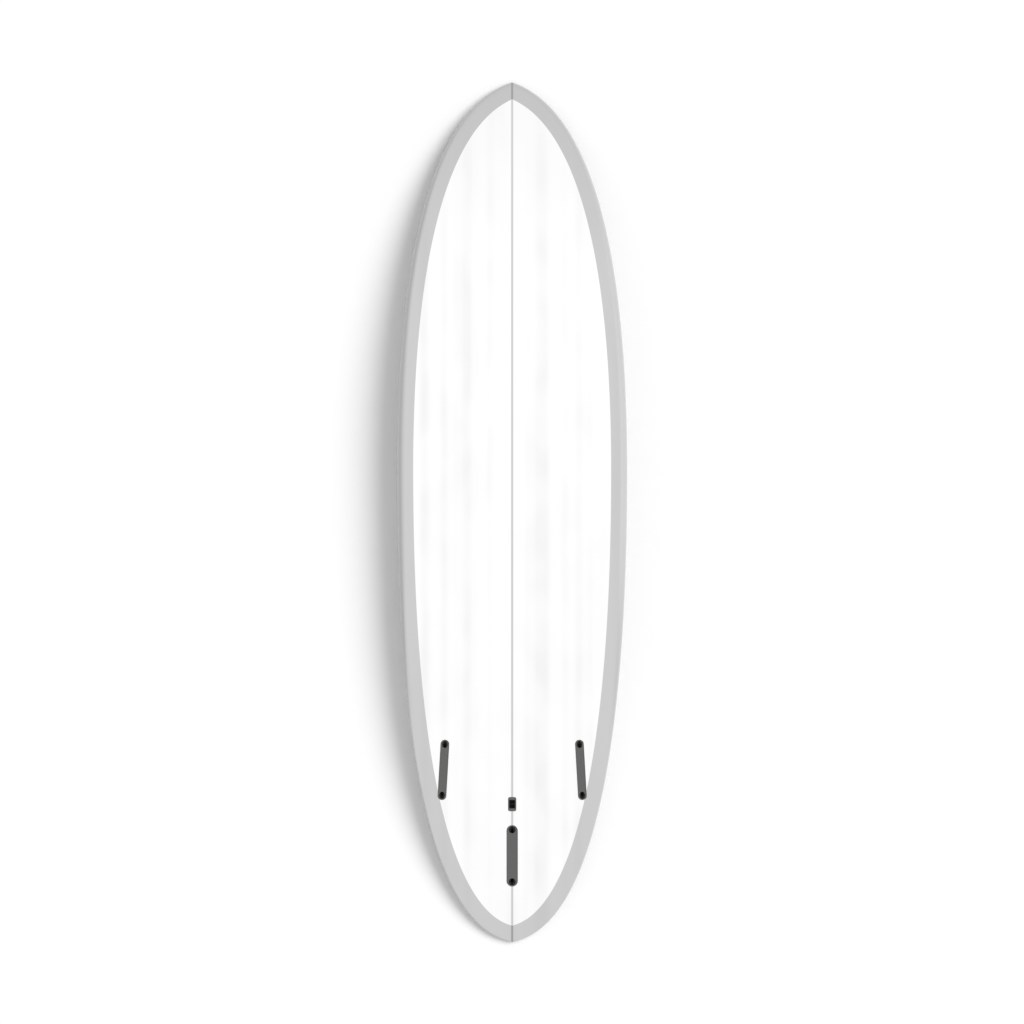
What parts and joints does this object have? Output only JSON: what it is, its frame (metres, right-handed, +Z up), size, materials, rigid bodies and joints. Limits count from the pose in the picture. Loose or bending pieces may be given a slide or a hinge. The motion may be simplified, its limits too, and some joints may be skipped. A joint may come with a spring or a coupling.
{
  "type": "surfboard",
  "caption": "White mid-length surfboard with a grey rail band, a thin dark centre line and a round pin tail, laid bottom up, with three empty grey fin boxes.",
  "frame": {"origin": "on the ground, below the middle of the board's bounding box", "axes": "+Y from tail to nose, +X to the right as seen from above with the nose up the page, +Z up and out of the board's bottom, which faces up"},
  "size_m": [0.542, 2.033, 0.1104],
  "materials": {
    "white_glass": "gloss",
    "grey_glass": "gloss",
    "foam": "matte",
    "timber": "satin",
    "grey_nylon": "satin",
    "black_nylon": "satin",
    "dark_steel": "satin",
    "bright_steel": "satin"
  },
  "bodies": {
    "board": {"bottom_skin": "white_glass", "deck_skin": "white_glass", "fin_box_center": "grey_nylon", "fin_box_left": "grey_nylon", "fin_box_right": "grey_nylon", "fin_socket_center_front": "black_nylon", "fin_socket_center_rear": "black_nylon", "fin_socket_left_front": "black_nylon", "fin_socket_left_rear": "black_nylon", "fin_socket_right_front": "black_nylon", "fin_socket_right_rear": "black_nylon", "foam_core_left": "foam", "foam_core_right": "foam", "leash_cup": "black_nylon", "leash_pin": "bright_steel", "rail_wrap": "grey_glass", "stringer": "timber", "tether_cup": "black_nylon", "tether_frame": "grey_nylon", "tether_pin": "dark_steel"},
    "fin_screw_left_front": {"fin_screw_left_front": "dark_steel"},
    "fin_screw_left_rear": {"fin_screw_left_rear": "dark_steel"},
    "fin_screw_right_front": {"fin_screw_right_front": "dark_steel"},
    "fin_screw_right_rear": {"fin_screw_right_rear": "dark_steel"},
    "fin_screw_center_front": {"fin_screw_center_front": "dark_steel"},
    "fin_screw_center_rear": {"fin_screw_center_rear": "dark_steel"}
  },
  "joints": [
    {"name": "fin_screw_left_front_turn", "type": "hinge", "parent": "board", "child": "fin_screw_left_front", "pos_m": [-0.15824, -0.54305, 0.07501], "axis": [0.0149, 0.159, 0.9872], "range_deg": [-1337, 0]},
    {"name": "fin_screw_left_rear_turn", "type": "hinge", "parent": "board", "child": "fin_screw_left_rear", "pos_m": [-0.16575, -0.6726, 0.06179], "axis": [-0.0149, -0.3551, 0.9347], "range_deg": [-1337, 0]},
    {"name": "fin_screw_right_front_turn", "type": "hinge", "parent": "board", "child": "fin_screw_right_front", "pos_m": [0.15824, -0.54305, 0.07501], "axis": [-0.0149, 0.159, 0.9872], "range_deg": [-1337, 0]},
    {"name": "fin_screw_right_rear_turn", "type": "hinge", "parent": "board", "child": "fin_screw_right_rear", "pos_m": [0.16575, -0.6726, 0.06179], "axis": [0.0149, -0.3551, 0.9347], "range_deg": [-1337, 0]},
    {"name": "fin_screw_center_front_turn", "type": "hinge", "parent": "board", "child": "fin_screw_center_front", "pos_m": [0, -0.74525, 0.05333], "axis": [0, 0.1298, 0.9915], "range_deg": [-1337, 0]},
    {"name": "fin_screw_center_rear_turn", "type": "hinge", "parent": "board", "child": "fin_screw_center_rear", "pos_m": [0, -0.87793, 0.03576], "axis": [0, -0.3833, 0.9236], "range_deg": [-1337, 0]}
  ]
}
